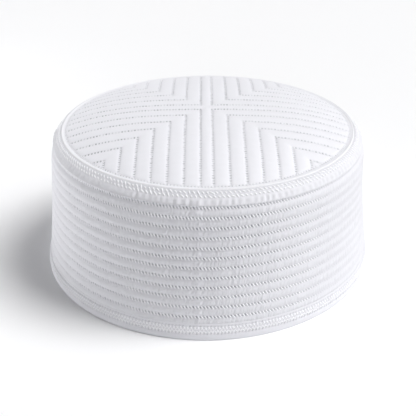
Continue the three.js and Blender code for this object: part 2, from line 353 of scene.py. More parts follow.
# Woven white cotton: matt, with a soft bloom at grazing angles from its loose fibre ends. The
# threads of such cloth lie about 0.3 mm apart, too fine to show, so the weave is drawn at 0.6 mm.
# Tight stitching puckers it in small folds. Painted shade greys the creases that stitches draw in,
# in uneven dashes by the needle holes. It is weaker where sewing is loose and on the crown's front
# right, which faces the lamps, and stronger on the left of the band's front.
def woven_cotton(name, cloth_hex, crease_shade_hex):
    material, tree = bare_material(name)
    band_scale = FULL_TURN / (WAVE_RATE * 2.0 * THREAD_SPACING * MM)
    pucker_scale = (1.0 / (PUCKER_WIDTH * MM), 1.0 / (PUCKER_LENGTH * MM), 1.0)
    measure = add_node(tree, "UVMap", {"uv_map": "weave"})
    crease, loose, run, pucker = (
        add_node(tree, "Attribute", {"attribute_name": mark}, output="Fac")
        for mark in ("crease", "shade_fade", "stitch_run", "pucker")
    )
    warp, weft = (
        add_node(tree, "TexWave", {"bands_direction": way}, {"Vector": measure, "Scale": band_scale}, "Fac")
        for way in ("X", "Y")
    )
    warp_side = compute(tree, "SUBTRACT", warp, 0.5)
    weft_side = compute(tree, "SUBTRACT", weft, 0.5)
    crossing = compute(tree, "MULTIPLY", warp_side, weft_side)
    slubs = add_node(tree, "TexNoise", None,
                     {"Vector": measure, "Scale": 1.0 / (SLUB_SPACING * MM), "Detail": 3.0})
    fabric = compute(tree, "MULTIPLY_ADD", slubs, SLUB_SHARE, crossing)
    drawn = add_node(tree, "Mapping", None, {"Vector": measure, "Scale": pucker_scale})
    folds = add_node(tree, "TexNoise", None, {"Vector": drawn, "Scale": 1.0, "Detail": 1.0})
    puckers = compute(tree, "MULTIPLY", folds, pucker)
    height = compute(tree, "MULTIPLY_ADD", puckers, PUCKER_DEPTH / WEAVE_DEPTH, fabric)
    bump = add_node(tree, "Bump", None, {"Height": height, "Strength": 0.5, "Distance": WEAVE_DEPTH * MM})
    dashes = compute(tree, "COSINE", compute(tree, "MULTIPLY", run, FULL_TURN))
    bare = add_node(tree, "MapRange", {"interpolation_type": "SMOOTHSTEP"},
                    {"Value": dashes, "From Min": -0.3, "From Max": 0.6, "To Min": FAINTEST_SHADE})
    shade_marks = add_node(tree, "TexNoise", None,
                     {"Vector": measure, "Scale": 1.0 / (SHADE_PATCH_SPACING * MM), "Detail": 1.0})
    uneven = add_node(tree, "MapRange", None,
                      {"Value": shade_marks, "From Min": 0.38, "From Max": 0.62, "To Min": FAINTEST_SHADE})
    # share of the painted shade that is kept: less where sewing is loose, and less on the crown's front
    # right, which faces the lamps
    kept_shade = compute(tree, "SUBTRACT", 1.0, loose)
    shade = add_node(tree, "MapRange", {"interpolation_type": "SMOOTHSTEP"},
                     {"Value": crease, "From Min": 0.12, "From Max": 0.85})
    for share in (kept_shade, bare, uneven):
        shade = compute(tree, "MULTIPLY", shade, share)
    roughness = compute(tree, "MULTIPLY_ADD", slubs, 0.12, 0.8)
    matt_surface(tree, shade, (cloth_hex, crease_shade_hex), roughness, bump, gloss=0.25, sheen=0.12)
    return material


def finish_piece(piece, material):
    """Gives a piece its material and lets it ride on the cap."""
    piece.data.materials.clear()
    piece.data.materials.append(material)
    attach(piece, "root")


finish_piece(crown, woven_cotton("quilted_cotton_lawn", "#efeff4", "#a2a2a8"))
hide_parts("crown")

# Quilting thread
# A fine white cotton sewing thread in lockstitch, 1.7 mm a stitch. Each line runs from the mitre
# on a diagonal out to the crown's edge, above and below, and one row holds the edge to the welt.
QUILT_STITCH_LENGTH = 0.9
QUILT_THREAD_LIFT = 0.1
USUAL_UNSTEADINESS = 0.06  # of a stitch's slant, in radians, and of its length, as a share
SLOPE_STEP = 0.05  # over which the dome's slope is measured


def single_stitch(name, length, width, thickness, bow, sides):
    """One stitch lying along X and facing +Z: it rises out of the cloth, bows over and dives back."""
    bpy.ops.mesh.primitive_uv_sphere_add(segments=sides, ring_count=sides, radius=1.0)
    stitch = bpy.context.object
    stitch.name = name
    ball = points_of(stitch)
    along = ball[:, 2]
    girth = np.sqrt(np.clip(1.0 - along ** 2, 0.0, 1.0))
    fuller = np.sqrt(1.0 - along ** 4) / np.maximum(girth, TINY)
    across = ball[:, 0] * fuller * width / 2.0
    out = ball[:, 1] * fuller * thickness / 2.0 + bow * (1.0 - along ** 2)
    move_points(stitch, np.column_stack([along * length / 2.0, across, out]))
    return stitch


def sew(name, stitch, places, along, out, seed, lean=0.0, unsteadiness=USUAL_UNSTEADINESS, stand=1.0):
    """One mesh of copies of a stitch, laid at each place along its seam, leaning and facing out."""
    chance = np.random.RandomState(seed)
    turn = lean + chance.normal(0.0, unsteadiness, len(places))
    across = np.cross(out, along)
    thread_way = np.cos(turn)[:, None] * along + np.sin(turn)[:, None] * across
    side_way = np.cross(out, thread_way)
    shape = points_of(stitch) / MM
    length = chance.normal(1.0, unsteadiness, len(places))[:, None]
    copies = (
        places[:, None, :]
        + (shape[:, 0] * length)[:, :, None] * thread_way[:, None, :]
        + shape[None, :, 1, None] * side_way[:, None, :]
        + shape[None, :, 2, None] * (stand * out)[:, None, :]
    )
    # Blender lists the faces of a ball in a new order each run, so they are sorted
    faces = sorted((tuple(face.vertices), tuple(face.loop_indices)) for face in stitch.data.polygons)
    corners = [corner for _, face_corners in faces for corner in face_corners]
    shifts = (len(shape) * np.arange(len(places))).tolist()
    copied_faces = [tuple(point + shift for point in face) for shift in shifts for face, _ in faces]
    mesh = bpy.data.meshes.new(name)
    mesh.from_pydata((copies.reshape(-1, 3) * MM).tolist(), [], copied_faces)
    strand = np.empty(len(stitch.data.loops) * 2)
    stitch.data.uv_layers[0].data.foreach_get("uv", strand)
    strand = strand.reshape(-1, 2)[corners].ravel()
    mesh.uv_layers.new(name="strand").data.foreach_set("uv", np.tile(strand, len(places)))
    mesh.shade_smooth()
    piece = bpy.data.objects.new(name, mesh)
    bpy.context.collection.objects.link(piece)
    return piece


def cast_off(stitch):
    """Removes the single stitch once its copies are sewn."""
    bpy.data.meshes.remove(stitch.data)


PLY_TURNS = (0.63, 0.94, 1.0)  # scale of the plies' ridges round and along a stitch
PLY_DEPTH = 0.1


# Spun cotton thread: two plies twisted together, matt, a touch whiter than the cloth. The twist
# shows as slanting ridges with painted shade in the hollows between them, drawn at three turns a
# stitch so that they are not lost.
def spun_thread(name, thread_hex, hollow_shade_hex):
    material, tree = bare_material(name)
    strand = add_node(tree, "UVMap", {"uv_map": "strand"})
    slanted = add_node(tree, "Mapping", None, {"Vector": strand, "Scale": PLY_TURNS})
    plies = add_node(tree, "TexWave", {"bands_direction": "DIAGONAL"}, {"Vector": slanted, "Scale": 1.0},
                     "Fac")
    bump = add_node(tree, "Bump", None, {"Height": plies, "Strength": 0.4, "Distance": PLY_DEPTH * MM})
    roughness = compute(tree, "MULTIPLY_ADD", plies, -0.1, 0.8)
    matt_surface(tree, plies, (hollow_shade_hex, thread_hex), roughness, bump, gloss=0.3, sheen=0.1)
    return material


def quilt_line_places():
    """Places of the quilting stitches on the flat disc, with the direction of each line."""
    stitches = []
    for line in range(CHANNEL_COUNT + 1):
        across = CROSS_HALF_WIDTH + CHANNEL_PITCH * line
        edge = math.sqrt((CROWN_RADIUS - EDGE_ROW_INSET) ** 2 - across ** 2)
        count = max(int((edge - across) / QUILT_STITCH), 1)
        reach = across + QUILT_STITCH * (0.5 + np.arange(count))
        for side_x, side_y in ((1, 1), (-1, 1), (-1, -1), (1, -1)):
            for first in reach:
                stitches.append((side_x * first, side_y * across, side_x, 0.0))
                stitches.append((side_x * across, side_y * first, 0.0, side_y))
    return np.hsplit(np.array(stitches), 2)


def edge_row_places():
    """Places of the row of stitches that holds the crown's edge, and their directions."""
    turn = FULL_TURN * np.arange(EDGE_ROW_STITCHES) / EDGE_ROW_STITCHES
    places = (CROWN_RADIUS - EDGE_ROW_INSET) * np.column_stack([np.cos(turn), np.sin(turn)])
    return places, np.column_stack([-np.sin(turn), np.cos(turn)])


def sew_quilting(name, stitch, flat_places, directions, height_of, facing, seed):
    """Lays stitches on the upper or lower face of the crown, square to the dome there."""
    laid, _ = laid_quilt(flat_places)
    step_x, step_y = (SLOPE_STEP, 0.0), (0.0, SLOPE_STEP)
    rise_x = (height_of(laid + step_x) - height_of(laid - step_x)) / (2.0 * SLOPE_STEP)
    rise_y = (height_of(laid + step_y) - height_of(laid - step_y)) / (2.0 * SLOPE_STEP)
    out = np.column_stack([-rise_x, -rise_y, np.ones_like(rise_x)])
    out /= np.linalg.norm(out, axis=1)[:, None]
    along_rise = (directions * np.column_stack([rise_x, rise_y])).sum(axis=1)
    along = np.column_stack([directions, along_rise])
    along /= np.linalg.norm(along, axis=1)[:, None]
    places = np.column_stack([laid, height_of(laid)])
    return sew(name, stitch, places, along, facing * out, seed)


def line_height_above(flat_places):
    """Height at which the thread lies on the crown's upper face."""
    radius = np.hypot(flat_places[:, 0], flat_places[:, 1])
    flattened = smooth_step(CROWN_RADIUS, CROWN_RADIUS - CROWN_SEWN_EDGE, radius)
    return dome_height(radius) - NOTCH_DEPTH * flattened + QUILT_THREAD_LIFT


def line_height_below(flat_places):
    """Height at which the thread lies on the crown's lower face."""
    return dome_height(np.hypot(flat_places[:, 0], flat_places[:, 1])) - CROWN_THIN


white_thread = spun_thread("spun_cotton_thread", "#fcfcff", "#f2f2f6")
line_places, line_directions = quilt_line_places()
edge_places, edge_directions = edge_row_places()
fine_stitch = single_stitch("fine_stitch", QUILT_STITCH_LENGTH, width=0.55, thickness=0.45, bow=0.12,
                            sides=5)
quilting = sew_quilting("quilting_thread", fine_stitch, np.concatenate([line_places, edge_places]),
                        np.concatenate([line_directions, edge_directions]), line_height_above,
                        facing=1.0, seed=11)
cast_off(fine_stitch)
finish_piece(quilting, white_thread)

bobbin_stitch = single_stitch("bobbin_stitch", QUILT_STITCH_LENGTH, width=0.5, thickness=0.4, bow=0.1,
                              sides=4)
bobbin_quilting = sew_quilting("quilting_thread_inside", bobbin_stitch, line_places, line_directions,
                               line_height_below, facing=-1.0, seed=12)
cast_off(bobbin_stitch)
finish_piece(bobbin_quilting, white_thread)

# Band
# The side wall is a strip of doubled white cotton over stiffening, its ends joined in one upright
# seam at the front. Twelve rows of stitching draw it in, tightest at the front and at the back.
# Above them it swells to a slightly gathered roll, then turns in as a flat strip under the welt.
BASE_RADIUS = 93.8
WALL_LEAN = 0.143
WALL_FLARE = 0.00078
WALL_SAMPLES = 131
BAND_THICKNESS = 2.6
BAND_FOOT = 1.3
FOOT_SET_BACK = 1.0  # the foot is pressed thinner inside the folded hem
FOOT_REACH = 20.0
HEM_HEIGHT = 9.4
HEM_EDGE_DROP = 1.0  # the thinner part ends this far below the hem's upper edge
HEM_EDGE_REACH = 0.5
ROW_COUNT = 12
LAST_ROW_HEIGHT = 13.0
ROW_PITCH = 5.4
TOP_ROW_DROP = 0.9  # the top rows sit lower than even spacing would put them
TOP_ROW_FADE = 1.6  # rows over which that drop fades
ROW_DEPTH = 0.36  # of the dimples between two stitches, where the sewing is tightest
LOOSE_SHARE = 0.06  # share of that depth where it is loosest
TIGHT_ANGLE = math.radians(-86.0)  # the sewing is tightest at the front, by the joining seam
TIGHT_REACH = 52.0
TAUT_BACK = 0.75  # the back half is sewn taut again
TAUT_BACK_RISE = (-0.3, 0.05)  # sines of the angles over which it becomes so
LOWER_SHARE = 0.8  # the lower rows are less taut
LOWER_RISE = (20.0, 50.0)
LEFT_SHADE_BOOST = 0.7  # the painted shade by the needle holes is made stronger on the left of the front, though the cloth is slack there
LEFT_SHADE_ANGLE = math.radians(-135.0)
LEFT_SHADE_REACH = 55.0
UNDER_STITCH_DEPTH = 0.02
ROW_HALF_WIDTH = 1.0
BELOW_ROW_SHARE = 0.8  # a dimple ends sooner below its row than above it
SHADE_RISE = 0.25  # the painted shade of a row lies a little above the middle of its stitches
SHADE_WIDTH = 0.85  # and over this share of the row's width
DIMPLE_POWER = 3
DIMPLE_SLANT = 0.6  # how far a dimple leans to the side for each millimetre up
DIMPLE_REACH = 1.5
DIMPLE_SLANT_POWER = 4
RIDGE_SWELL = 0.07
ROLL_SWELL = 0.6  # of the plain roll above the top row
ROLL_SAG = 0.9  # power that brings the fullest part of the roll down towards that row
ROLL_FOOT_RISE = (72.6, 73.8)  # heights over which the roll's gathers set in and fade out
ROLL_TOP_RISE = (76.4, 75.6)
ROW_FLAT = 0.3  # share of the way to the ridge's top over which the cloth lies flat by a row
INSIDE_ROW_DEPTH = 0.3
INSIDE_ROW_HALF_WIDTH = 1.2
INSIDE_SHADE = 0.3
SHOULDER_START = 65.0
SHOULDER_TOP_RADIUS = 81.7
SHOULDER_TOP_HEIGHT = 78.9
SHOULDER_FULLNESS = 1.5
SHOULDER_THICKNESS = 2.0
SHOULDER_SAMPLES = 61
SHOULDER_INSIDE_POINTS = 5
SHOULDER_INSIDE_END = 0.35  # angle in radians at which the inner face leaves the shoulder's turn
SHOULDER_INSIDE_GAP = 1.0
STRIP_FOOT_HEIGHT = 76.0  # a flat strip lies between the roll and the welt
STRIP_ROW_HEIGHT = 78.0
STRIP_SHADE = 0.38  # painted shade greys the cloth a little under its stitches
STRIP_HALF_WIDTH = 1.2
STRIP_CLEARANCE = 1.0  # the rows' tightness ends this far below the strip
TOP_TUCK = 0.15
TOP_TUCK_HALF_WIDTH = 0.4
TOP_TUCK_SHADE = 0.3
ROUND_STITCHES = 332  # stitches in one row of the band
ROUND_COLUMNS = 2 * ROUND_STITCHES
# fractions of the way from one crease to the next at which the cloth between them is drawn
FOOT_STOPS = (0.0,)
HEM_STOPS = (0.0, 0.15, 0.3, 0.5, 0.75, 0.88)
RIDGE_STOPS = (0.0, 0.09, 0.18, 0.27, 0.41, 0.59, 0.73, 0.82, 0.91)
STRIP_STOPS = (0.0, 0.25, 0.5, 0.75)
TUCK_STOPS = (0.0, 0.5)
SEAM_ANGLE = math.radians(-92.9)  # the front is at -90 degrees
SEAM_RIDGE = 0.5
SEAM_HALF_WIDTH = 1.0
PLEAT = 0.1  # small upright folds that each stitch draws in the ridges
PUCKER = 0.4  # share of the deepest puckers that is found everywhere
SEAM_PUCKER_REACH = 26.0  # the deepest lie by the joining seam
GATHER = 0.42
GATHER_SPACING = 3.7
GATHER_WANDER = 2.2  # how far, in radians, the gathers stray from even spacing
GATHER_WANDER_WAVE = 31.0
GATHER_MEAN = 0.7
GATHER_SPREAD = 0.5  # some gathers are deeper by this share and some shallower
GATHER_SPREAD_WAVE = 13.0
WALL_RIPPLE = 0.08
WALL_RIPPLE_WAVE = 17.0
ROW_WAVE = 0.12
ROW_WAVE_LENGTH = 90.0
ROW_WAVE_SHIFT = 3.0  # stretches heights, so that each row wanders in its own way
ROW_WAVE_TOP = 74.0
BACK_ANGLE = math.pi / 2.0
BACK_REACH = 0.15  # in radians, at the back, where the rolled-up strip is closed
FRONT_LEFT_ANGLE = math.radians(-105.0)
# how far the wall stands out of true: as an oval, as a three-sided round, and as two bulges
OVAL, OVAL_START = 0.25, 0.6
THREE_SIDED, THREE_SIDED_START = 0.15, -1.1
RIGHT_BULGE = 0.75
RIGHT_BULGE_RISE = (50.0, 20.0)
FRONT_LEFT_BULGE = 1.4
SWAY_END = (45.0, 76.0)
MIDDLE_RADIUS = 90.0
BAND_LENGTH = FULL_TURN * MIDDLE_RADIUS


def wall_radius(height):
    """Radius of the wall's outer face below the shoulder."""
    return BASE_RADIUS - WALL_LEAN * height + WALL_FLARE * height ** 2


def shoulder_curve(turn, depth=0.0):
    """Radius and height along the shoulder's turn, on its outer face or a depth inside it."""
    width = wall_radius(SHOULDER_START) - SHOULDER_TOP_RADIUS - depth
    rise = SHOULDER_TOP_HEIGHT - SHOULDER_START - depth
    power = 2.0 / SHOULDER_FULLNESS
    radius = SHOULDER_TOP_RADIUS + width * np.cos(turn) ** power
    return radius, SHOULDER_START + rise * np.sin(turn) ** power


# the outer face from the floor to the welt, measured along the cloth
wall_heights = np.linspace(0.0, SHOULDER_START, WALL_SAMPLES)
shoulder_turn = np.linspace(0.0, math.pi / 2.0, SHOULDER_SAMPLES)[1:]
shoulder_radius, shoulder_height = shoulder_curve(shoulder_turn)
face_radius = np.append(wall_radius(wall_heights), shoulder_radius)
face_height = np.append(wall_heights, shoulder_height)
face_measure = np.append(0.0, np.cumsum(np.hypot(np.diff(face_radius), np.diff(face_height))))
face_lean_r = np.gradient(face_radius, face_measure)
face_lean_z = np.gradient(face_height, face_measure)


def on_face(measure):
    """Radius, height and outward direction of the band's outer face, a distance up the cloth."""
    curves = (face_radius, face_height, face_lean_r, face_lean_z)
    radius, height, lean_r, lean_z = (np.interp(measure, face_measure, curve) for curve in curves)
    size = np.hypot(lean_r, lean_z)
    return radius, height, lean_z / size, -lean_r / size


def measure_at(height):
    """Distance up the cloth at which the band's outer face reaches a height."""
    return np.interp(height, face_height, face_measure)


def angle_round(place, count):
    """Angle of a place round the cap, in a count of even steps from the middle of the back."""
    return BACK_ANGLE + FULL_TURN * place / count


def measure_from(start, angle):
    """Distance round the band from a starting angle."""
    return (angle - start - FULL_TURN) * BASE_RADIUS


def rolled_up(radius, angle, height):
    """Points at a radius, angle and height."""
    return np.column_stack([radius * np.cos(angle), radius * np.sin(angle), height])


def sway(angle, height):
    """How far the hand-made wall stands out of true, fading out towards the welt."""
    loose = 1.0 - smooth_step(*SWAY_END, height)
    out_of_round = OVAL * np.sin(2.0 * angle + OVAL_START)
    out_of_round += THREE_SIDED * np.sin(3.0 * angle + THREE_SIDED_START)
    to_right = np.clip(np.cos(angle), 0.0, 1.0) ** 2
    right_side = RIGHT_BULGE * to_right * smooth_step(*RIGHT_BULGE_RISE, height)
    front_left = FRONT_LEFT_BULGE * np.clip(np.cos(angle - FRONT_LEFT_ANGLE), 0.0, 1.0) ** 4
    return loose * (out_of_round + front_left) + right_side


def sewing_tightness(angle, height):
    """How hard the rows of sewing pull at each place, as a share of the most."""
    near_front = fade(measure_from(TIGHT_ANGLE, angle), TIGHT_REACH)
    pull = LOOSE_SHARE + (1.0 - LOOSE_SHARE) * near_front
    pull = np.maximum(pull, TAUT_BACK * smooth_step(*TAUT_BACK_RISE, np.sin(angle)))
    return pull * (LOWER_SHARE + (1.0 - LOWER_SHARE) * smooth_step(*LOWER_RISE, height))


def clear_of_back(angle):
    """Fades ripples and gathers out at the middle of the back, where the strip's ends meet."""
    from_back = np.minimum(angle - BACK_ANGLE, BACK_ANGLE + FULL_TURN - angle)
    return smooth_step(0.0, BACK_REACH, from_back)


def row_wave(angle, height):
    """How far a row of sewing wanders up and down."""
    in_waves = (height > HEM_HEIGHT) & (height < ROW_WAVE_TOP)
    wander = unevenness(measure_from(SEAM_ANGLE, angle), ROW_WAVE_SHIFT * height, ROW_WAVE_LENGTH)
    return ROW_WAVE * wander * in_waves * clear_of_back(angle)


rows_from_top = np.arange(ROW_COUNT)[::-1]
row_drop = TOP_ROW_DROP * np.exp(-rows_from_top / TOP_ROW_FADE)
row_heights = LAST_ROW_HEIGHT + ROW_PITCH * np.arange(ROW_COUNT) - row_drop
row_measures = measure_at(row_heights)

# each crease up the outer face: height, how far it is pulled in between stitches and under them,
# half its width and its shade
creases = [
    (BAND_FOOT, FOOT_SET_BACK, FOOT_SET_BACK, FOOT_REACH, 0.0),
    (HEM_HEIGHT - HEM_EDGE_DROP, FOOT_SET_BACK, FOOT_SET_BACK, HEM_EDGE_REACH, 0.0),
    *((height, ROW_DEPTH, UNDER_STITCH_DEPTH, ROW_HALF_WIDTH, 1.0) for height in row_heights),
    (STRIP_FOOT_HEIGHT, 0.0, 0.0, STRIP_HALF_WIDTH, 0.0),
    (STRIP_ROW_HEIGHT, 0.0, 0.0, STRIP_HALF_WIDTH, STRIP_SHADE),
    (SHOULDER_TOP_HEIGHT, TOP_TUCK, TOP_TUCK, TOP_TUCK_HALF_WIDTH, TOP_TUCK_SHADE),
]
crease_measures = measure_at(np.array([crease[0] for crease in creases]))
crease_stops = [FOOT_STOPS, HEM_STOPS, *[RIDGE_STOPS] * ROW_COUNT, STRIP_STOPS, TUCK_STOPS]
ROLL = ROW_COUNT + 1  # place in that list of the roll, which lies above the top row

# the outer face in steps between creases: its measure, how far it is pulled in, its shade and swell
spans = []
for lower, stops in enumerate(map(np.array, crease_stops)):
    start, end = crease_measures[lower:lower + 2]
    measure = start + (end - start) * stops
    pull, stitch_pull, shade = np.zeros((3, len(measure)))
    for middle, crease in zip((start, end), creases[lower:lower + 2]):
        _, depth, stitch_depth, half_width, darkness = crease
        reach = np.where(measure < middle, half_width * BELOW_ROW_SHARE, half_width)
        near = fade(measure - middle, reach, DIMPLE_POWER)
        pull = np.maximum(pull, depth * near)
        stitch_pull = np.maximum(stitch_pull, stitch_depth * near)
        in_shade = fade(measure - middle - SHADE_RISE, half_width * SHADE_WIDTH, DIMPLE_POWER)
        shade = np.maximum(shade, darkness * in_shade)
    if lower == ROLL:
        swell = np.sin(math.pi * stops ** ROLL_SAG)
    elif 0 < lower < ROLL:
        to_top = 2.0 * np.minimum(stops, 1.0 - stops)
        rise = np.clip((to_top - ROW_FLAT) / (1.0 - ROW_FLAT), 0.0, 1.0)
        swell = 1.0 - (1.0 - rise) ** 2
    else:
        swell = np.zeros_like(stops)
    spans.append((measure, pull, stitch_pull, shade, swell))
spans.append(([crease_measures[-1]], [TOP_TUCK], [TOP_TUCK], [TOP_TUCK_SHADE], [0.0]))
outer_measure, outer_pull, outer_stitch_pull, outer_shade, outer_swell = map(np.concatenate, zip(*spans))
nearest_row = np.argmin(np.abs(outer_measure[:, None] - row_measures), axis=1)
from_row = outer_measure - row_measures[nearest_row]
dimple_lean = -DIMPLE_SLANT * from_row * fade(from_row, DIMPLE_REACH, DIMPLE_SLANT_POWER)

# the inner face, from the top down, drawn in lightly at the same rows
inside_turn = np.linspace(math.pi / 2.0, SHOULDER_INSIDE_END, SHOULDER_INSIDE_POINTS)
inside_turn_radius, inside_turn_height = shoulder_curve(inside_turn, SHOULDER_THICKNESS)
between_rows = row_heights[:-1] + ROW_PITCH / 2.0
wall_stops = np.sort(np.concatenate([row_heights, between_rows, [BAND_FOOT]]))[::-1]
wall_stops = wall_stops[wall_stops < inside_turn_height[-1] - SHOULDER_INSIDE_GAP]
past_row = np.mod(wall_stops - LAST_ROW_HEIGHT + ROW_PITCH / 2.0, ROW_PITCH) - ROW_PITCH / 2.0
at_row = fade(past_row, INSIDE_ROW_HALF_WIDTH) * (wall_stops > HEM_HEIGHT)
inside_wall_radius = wall_radius(wall_stops) - BAND_THICKNESS + INSIDE_ROW_DEPTH * at_row
inner_radius = np.append(inside_turn_radius, inside_wall_radius)
inner_height = np.append(inside_turn_height, wall_stops)
inner_shade = np.append(np.zeros(SHOULDER_INSIDE_POINTS), INSIDE_SHADE * at_row)

# both faces as one closed section, rolled up from the middle of the back
outer_count = len(outer_measure)
section_count = outer_count + len(inner_radius)
band, column, row = flat_grid("sewn_band", ROUND_COLUMNS, section_count)
row = np.mod(row, section_count)
angle = angle_round(column, ROUND_COLUMNS)
in_gap = column % 2 == 0
is_outer = row < outer_count
outer_row = np.minimum(row, outer_count - 1)
inner_row = np.clip(row - outer_count, 0, len(inner_radius) - 1)

radius, height, out_r, out_z = on_face(outer_measure[outer_row])
in_rows = (height > HEM_HEIGHT) & (height < STRIP_FOOT_HEIGHT - STRIP_CLEARANCE)
in_roll = (height > row_heights[-1]) & (height < STRIP_FOOT_HEIGHT)
on_roll = smooth_step(*ROLL_FOOT_RISE, height) * smooth_step(*ROLL_TOP_RISE, height)
tightness = sewing_tightness(angle, height)
swell = outer_swell[outer_row]
from_seam = measure_from(SEAM_ANGLE, angle)
seam = SEAM_RIDGE * fade(from_seam, SEAM_HALF_WIDTH)
ripple = WALL_RIPPLE * unevenness(from_seam, height, WALL_RIPPLE_WAVE) * clear_of_back(angle)
wander = GATHER_WANDER * unevenness(from_seam, height, GATHER_WANDER_WAVE)
gather = np.sin(FULL_TURN * from_seam / GATHER_SPACING + wander)
gather *= GATHER_MEAN + GATHER_SPREAD * unevenness(from_seam, height, GATHER_SPREAD_WAVE)
gather *= GATHER * on_roll * clear_of_back(angle)
ridge = np.where(in_roll, ROLL_SWELL, RIDGE_SWELL * tightness ** 2)
folds = np.random.RandomState(20).normal(0.0, 1.0, ROUND_COLUMNS)
pleats = PLEAT * folds[column % ROUND_COLUMNS] * tightness
gap_pull = outer_pull[outer_row] * np.where(in_rows, tightness, 1.0)
push = (ripple + seam + gather + ridge) * swell + pleats * np.sqrt(swell)
push -= np.where(in_gap, gap_pull, outer_stitch_pull[outer_row]) + RIDGE_SWELL
face_out = np.where(is_outer, radius + sway(angle, height) + out_r * push,
                    inner_radius[inner_row] + sway(angle, inner_height[inner_row]))
face_up = np.where(is_outer, height + row_wave(angle, height) + out_z * push, inner_height[inner_row])
leaned_angle = angle + np.where(is_outer, dimple_lean[outer_row] / BASE_RADIUS, 0.0)
move_points(band, rolled_up(face_out, leaned_angle, face_up))

# painted shade in the row creases between the stitches, and in the other creases all round
outer_crease = outer_shade[outer_row] * (in_gap | ~in_rows)
mark_points(band, "crease", np.where(is_outer, outer_crease, inner_shade[inner_row]))
# the painted shade is kept where the sewing is tight, and made stronger on the left of the front
near_left = fade(measure_from(LEFT_SHADE_ANGLE, leaned_angle), LEFT_SHADE_REACH)
shade_strength = np.minimum(tightness + LEFT_SHADE_BOOST * near_left, 1.0)
mark_points(band, "shade_fade", np.where(is_outer, 1.0 - shade_strength, 0.0))
puckered = PUCKER + (1.0 - PUCKER) * fade(from_seam, SEAM_PUCKER_REACH)
mark_points(band, "pucker", np.where(is_outer, puckered * swell * (1.0 - on_roll), 0.0))


def stretch_weave(piece, length, width):
    """Turns a rolled-up grid's own UV map to the cloth's measure, in metres."""
    layer = piece.data.uv_layers[0]
    layer.name = "weave"
    corners = np.empty(len(layer.data) * 2)
    layer.data.foreach_get("uv", corners)
    layer.data.foreach_set("uv", (corners.reshape(-1, 2) * (length * MM, width * MM)).ravel())


stretch_weave(band, BAND_LENGTH, 2.0 * face_measure[-1])
close_seams(band)
bpy.ops.object.shade_smooth_by_angle(angle=SMOOTH_ANGLE)
# the band's white is drawn greyer than the crown's and the welt's, as painted shade on the upright wall
finish_piece(band, woven_cotton("doubled_cotton_twill", "#e4e4e9", "#90909a"))
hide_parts("band")

# Band stitching
# Twelve rows of thick white cotton thread, each stitch lying aslant over the crease that it draws
# in, about 1.7 mm from one to the next, so that dark slanting gaps show between them. Inside, all
# the rows but the top one show as a finer line of thread.
ROW_STITCH_LEAN = math.radians(121.0)
ROW_THREAD_LEVEL = -0.13  # ends of the thread, measured out from the tops of the ridges


def sew_round(name, stitch, measure, level, lean, seed, count=ROUND_STITCHES, facing=1.0, start=0.5,
              unsteadiness=USUAL_UNSTEADINESS, taut=False):
    """A row of stitches round the band, a distance up the cloth and out from its outer face."""
    angle = angle_round(start + np.arange(count), count)
    radius, height, out_r, out_z = (np.full(count, value) for value in on_face(measure))
    thread_radius = radius + sway(angle, height) + out_r * level
    thread_height = height + row_wave(angle, height) + out_z * level
    places = rolled_up(thread_radius, angle, thread_height)
    along = np.column_stack([-np.sin(angle), np.cos(angle), np.zeros(count)])
    out = rolled_up(out_r, angle, out_z)
    stand = sewing_tightness(angle, height)[:, None] ** 2 if taut else 1.0
    return sew(name, stitch, places, along, facing * out, seed, lean, unsteadiness, stand)


def sew_rows(name, stitch, rows):
    """Sews rows round the band with one kind of stitch and finishes them as one piece."""
    pieces = [sew_round(name, stitch, **row) for row in rows]
    select_only(*pieces)
    bpy.ops.object.join()
    cast_off(stitch)
    finish_piece(pieces[0], white_thread)
    return pieces[0]


row_stitch = single_stitch("row_stitch", length=2.5, width=0.68, thickness=0.42, bow=0.12, sides=5)
band_rows = [
    dict(measure=measure, level=ROW_THREAD_LEVEL, lean=ROW_STITCH_LEAN, seed=30 + row, taut=True)
    for row, measure in enumerate(row_measures)
]
band_thread = sew_rows("band_thread", row_stitch, band_rows)

bobbin_stitch = single_stitch("bobbin_stitch", length=1.35, width=0.55, thickness=0.45, bow=0.1, sides=4)
inside_rows = [
    dict(measure=measure, level=INSIDE_ROW_DEPTH - BAND_THICKNESS, lean=0.0, seed=50 + row, facing=-1.0)
    for row, measure in enumerate(row_measures[:-1])
]
inside_thread = sew_rows("band_thread_inside", bobbin_stitch, inside_rows)

# Shoulder stitching
# Two rows of slanting white thread, 2.2 mm a stitch, run round the flat strip at the top of the
# band, close under the welt, and hold the crown's seam allowance down.
SHOULDER_STITCH = 2.2
SHOULDER_ROW_RADIUS = 83.0
SHOULDER_ROW_HEIGHTS = (76.6, 78.1)
shoulder_count = round(FULL_TURN * SHOULDER_ROW_RADIUS / SHOULDER_STITCH)
shoulder_stitch = single_stitch("shoulder_stitch", SHOULDER_STITCH, width=0.85, thickness=0.45, bow=0.15,
                                sides=5)
shoulder_rows = [
    dict(measure=measure_at(row_height), level=-0.2, lean=math.radians(135.0), seed=70 + row,
         count=shoulder_count, start=0.5 * row, unsteadiness=0.2)
    for row, row_height in enumerate(SHOULDER_ROW_HEIGHTS)
]
shoulder_thread = sew_rows("shoulder_thread", shoulder_stitch, shoulder_rows)

# Rim welt
# A narrow strip of the same white cotton, folded and rolled over a filler cord, sewn in between
# the crown's edge and the top of the band so that it stands a little proud of both.
WELT_RADIUS = 80.72
WELT_HEIGHT = 78.3
WELT_HALF_WIDTH = 0.9
WELT_HALF_HEIGHT = 0.9
WELT_SIDES = 12
WELT_PINCH = 0.06  # the sewing pinches the roll a little
WELT_PINCH_SPACING = 5.3  # in columns of points
WELT_PINCH_GROUPS = 9.0  # places round the cap where it pinches most
WELT_SHADE_RISE = (0.3, -0.4)  # sines of the turn over which the underside becomes shaded
WELT_STRIP_WIDTH = 6.0

